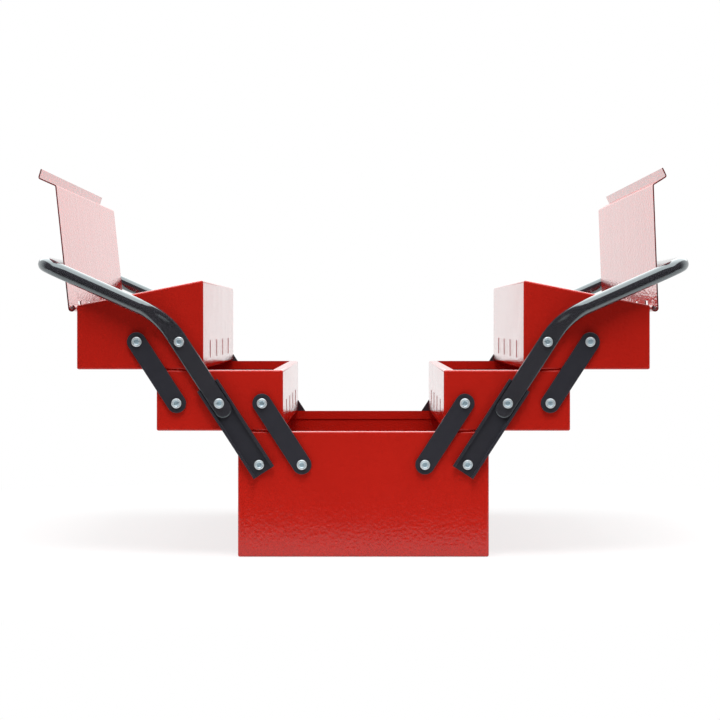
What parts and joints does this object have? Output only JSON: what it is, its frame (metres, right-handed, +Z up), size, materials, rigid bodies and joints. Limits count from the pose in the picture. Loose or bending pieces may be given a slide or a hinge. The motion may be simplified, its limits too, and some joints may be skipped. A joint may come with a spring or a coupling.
{
  "type": "cantilever tool box",
  "caption": "Cantilever tool box of folded sheet steel, standing open: a deep base, tiered side trays with dividers on levers and links, hinged lids and bent tube handles.",
  "frame": {"origin": "centre of the underside of the base, on the surface that the box stands on", "axes": "+Z up, +Y along the box's length towards the rear end, +X towards the right-hand trays"},
  "size_m": [0.52, 0.5599, 0.3101],
  "materials": {
    "red_paint": "gloss red powder paint with a fine orange-peel texture on folded sheet steel",
    "satin_black_paint": "satin blue-black paint on flat steel links and channels",
    "gloss_black_paint": "gloss blue-black paint on bent steel tube",
    "zinc_plate": "bright zinc plate on steel rivets, washers and hinge pins"
  },
  "bodies": {
    "base": {"base_pan": "red_paint", "base_rivets": "zinc_plate", "base_washers": "zinc_plate"},
    "lever_left": {"handle_tube_left": "gloss_black_paint", "lever_channel_front_left": "satin_black_paint", "lever_channel_rear_left": "satin_black_paint"},
    "lower_tray_left": {"lower_tray_left": "red_paint", "lower_dividers_left": "red_paint", "lower_tray_rivets_left": "zinc_plate", "lower_tray_washers_left": "zinc_plate"},
    "upper_tray_left": {"upper_tray_left": "red_paint", "upper_dividers_left": "red_paint", "hinge_pin_left": "zinc_plate", "upper_tray_rivets_left": "zinc_plate", "upper_tray_washers_left": "zinc_plate"},
    "lid_left": {"lid_left": "red_paint"},
    "lower_link_front_left": {"lower_link_front_left": "satin_black_paint"},
    "upper_link_front_left": {"upper_link_front_left": "satin_black_paint"},
    "lower_link_rear_left": {"lower_link_rear_left": "satin_black_paint"},
    "upper_link_rear_left": {"upper_link_rear_left": "satin_black_paint"},
    "lever_right": {"handle_tube_right": "gloss_black_paint", "lever_channel_front_right": "satin_black_paint", "lever_channel_rear_right": "satin_black_paint"},
    "lower_tray_right": {"lower_tray_right": "red_paint", "lower_dividers_right": "red_paint", "lower_tray_rivets_right": "zinc_plate", "lower_tray_washers_right": "zinc_plate"},
    "upper_tray_right": {"upper_tray_right": "red_paint", "upper_dividers_right": "red_paint", "hinge_pin_right": "zinc_plate", "upper_tray_rivets_right": "zinc_plate", "upper_tray_washers_right": "zinc_plate"},
    "lid_right": {"lid_right": "red_paint"},
    "lower_link_front_right": {"lower_link_front_right": "satin_black_paint"},
    "upper_link_front_right": {"upper_link_front_right": "satin_black_paint"},
    "lower_link_rear_right": {"lower_link_rear_right": "satin_black_paint"},
    "upper_link_rear_right": {"upper_link_rear_right": "satin_black_paint"}
  },
  "joints": [
    {"name": "lever_left_swing", "type": "hinge", "parent": "base", "child": "lever_left", "pos_m": [-0.083, 0, 0.0735], "axis": [0, 1, 0], "range_deg": [0, 66]},
    {"name": "lower_tray_left_pivot", "type": "hinge", "parent": "lever_left", "child": "lower_tray_left", "pos_m": [-0.11476, 0, 0.1224], "axis": [0, 1, 0], "range_deg": [-66, 0]},
    {"name": "upper_tray_left_pivot", "type": "hinge", "parent": "lever_left", "child": "upper_tray_left", "pos_m": [-0.14651, 0, 0.1713], "axis": [0, 1, 0], "range_deg": [-66, 0]},
    {"name": "lower_link_front_left_pivot", "type": "hinge", "parent": "base", "child": "lower_link_front_left", "pos_m": [-0.049, 0, 0.0735], "axis": [0, 1, 0], "range_deg": [0, 66]},
    {"name": "upper_link_front_left_pivot", "type": "hinge", "parent": "lower_tray_left", "child": "upper_link_front_left", "pos_m": [-0.14876, 0, 0.1224], "axis": [0, 1, 0], "range_deg": [0, 66]},
    {"name": "lower_link_rear_left_pivot", "type": "hinge", "parent": "base", "child": "lower_link_rear_left", "pos_m": [-0.049, 0, 0.0735], "axis": [0, 1, 0], "range_deg": [0, 66]},
    {"name": "upper_link_rear_left_pivot", "type": "hinge", "parent": "lower_tray_left", "child": "upper_link_rear_left", "pos_m": [-0.14876, 0, 0.1224], "axis": [0, 1, 0], "range_deg": [0, 66]},
    {"name": "lid_left_hinge", "type": "hinge", "parent": "upper_tray_left", "child": "lid_left", "pos_m": [-0.23232, 0, 0.19817], "axis": [0, 1, 0], "range_deg": [0, 84.8]},
    {"name": "lever_right_swing", "type": "hinge", "parent": "base", "child": "lever_right", "pos_m": [0.083, 0, 0.0735], "axis": [0, -1, 0], "range_deg": [0, 66]},
    {"name": "lower_tray_right_pivot", "type": "hinge", "parent": "lever_right", "child": "lower_tray_right", "pos_m": [0.11476, 0, 0.1224], "axis": [0, -1, 0], "range_deg": [-66, 0]},
    {"name": "upper_tray_right_pivot", "type": "hinge", "parent": "lever_right", "child": "upper_tray_right", "pos_m": [0.14651, 0, 0.1713], "axis": [0, -1, 0], "range_deg": [-66, 0]},
    {"name": "lower_link_front_right_pivot", "type": "hinge", "parent": "base", "child": "lower_link_front_right", "pos_m": [0.049, 0, 0.0735], "axis": [0, -1, 0], "range_deg": [0, 66]},
    {"name": "upper_link_front_right_pivot", "type": "hinge", "parent": "lower_tray_right", "child": "upper_link_front_right", "pos_m": [0.14876, 0, 0.1224], "axis": [0, -1, 0], "range_deg": [0, 66]},
    {"name": "lower_link_rear_right_pivot", "type": "hinge", "parent": "base", "child": "lower_link_rear_right", "pos_m": [0.049, 0, 0.0735], "axis": [0, -1, 0], "range_deg": [0, 66]},
    {"name": "upper_link_rear_right_pivot", "type": "hinge", "parent": "lower_tray_right", "child": "upper_link_rear_right", "pos_m": [0.14876, 0, 0.1224], "axis": [0, -1, 0], "range_deg": [0, 66]},
    {"name": "lid_right_hinge", "type": "hinge", "parent": "upper_tray_right", "child": "lid_right", "pos_m": [0.23232, 0, 0.19817], "axis": [0, -1, 0], "range_deg": [0, 76.5]}
  ],
  "couplings": [
    {"joint": "lower_tray_left_pivot", "follows": "lever_left_swing", "ratio": -1},
    {"joint": "upper_tray_left_pivot", "follows": "lever_left_swing", "ratio": -1},
    {"joint": "lower_link_front_left_pivot", "follows": "lever_left_swing", "ratio": 1},
    {"joint": "upper_link_front_left_pivot", "follows": "lever_left_swing", "ratio": 1},
    {"joint": "lower_link_rear_left_pivot", "follows": "lever_left_swing", "ratio": 1},
    {"joint": "upper_link_rear_left_pivot", "follows": "lever_left_swing", "ratio": 1},
    {"joint": "lid_left_hinge", "follows": "lever_left_swing", "ratio": 1.2848},
    {"joint": "lower_tray_right_pivot", "follows": "lever_right_swing", "ratio": -1},
    {"joint": "upper_tray_right_pivot", "follows": "lever_right_swing", "ratio": -1},
    {"joint": "lower_link_front_right_pivot", "follows": "lever_right_swing", "ratio": 1},
    {"joint": "upper_link_front_right_pivot", "follows": "lever_right_swing", "ratio": 1},
    {"joint": "lower_link_rear_right_pivot", "follows": "lever_right_swing", "ratio": 1},
    {"joint": "upper_link_rear_right_pivot", "follows": "lever_right_swing", "ratio": 1},
    {"joint": "lid_right_hinge", "follows": "lever_right_swing", "ratio": 1.1591}
  ]
}
